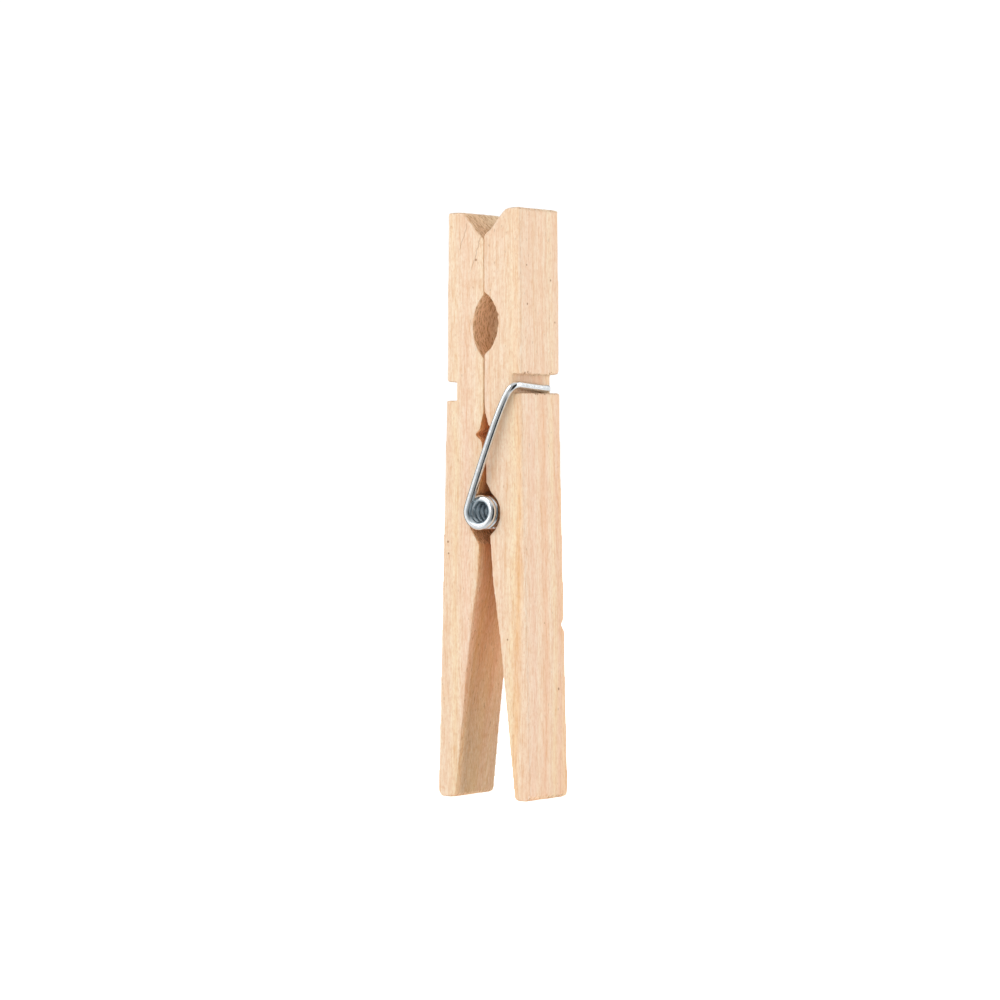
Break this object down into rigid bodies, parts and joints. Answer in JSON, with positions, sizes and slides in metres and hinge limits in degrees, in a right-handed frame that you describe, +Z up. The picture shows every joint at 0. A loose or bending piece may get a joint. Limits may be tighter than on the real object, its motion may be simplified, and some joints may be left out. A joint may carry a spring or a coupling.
{
  "type": "clothespin",
  "caption": "Spring clothespin: two milled wooden legs rock on a coiled wire spring, with a V mouth, a line eye and tapering squeeze handles",
  "frame": {"origin": "middle of the base, on the surface that the handle ends stand on", "axes": "+Z up from the handle ends to the jaws, +X across the legs to the right leg, +Y along the spring coil to the back"},
  "size_m": [0.0164, 0.0136, 0.0857],
  "materials": {
    "right_leg_wood": "bare sanded softwood with straight grain, slightly rough",
    "left_leg_wood": "bare sanded softwood with straight grain, slightly rough",
    "spring_wire": "bright zinc-plated spring steel wire"
  },
  "bodies": {
    "spring": {"spring_coil": "spring_wire"},
    "right_leg": {"right_leg": "right_leg_wood", "spring_front_arm": "spring_wire"},
    "left_leg": {"left_leg": "left_leg_wood", "spring_rear_arm": "spring_wire"}
  },
  "joints": [
    {"name": "right_leg_squeeze", "type": "hinge", "parent": "spring", "child": "right_leg", "pos_m": [0, 0, 0.04165], "axis": [0, 1, 0], "range_deg": [0, 7.1], "stiffness_Nm_per_rad": 0.11, "springref_deg": -5.16},
    {"name": "left_leg_squeeze", "type": "hinge", "parent": "spring", "child": "left_leg", "pos_m": [0, 0, 0.04165], "axis": [0, -1, 0], "range_deg": [0, 7.1], "stiffness_Nm_per_rad": 0.11, "springref_deg": -5.16}
  ],
  "couplings": [
    {"joint": "left_leg_squeeze", "follows": "right_leg_squeeze", "ratio": 1}
  ]
}
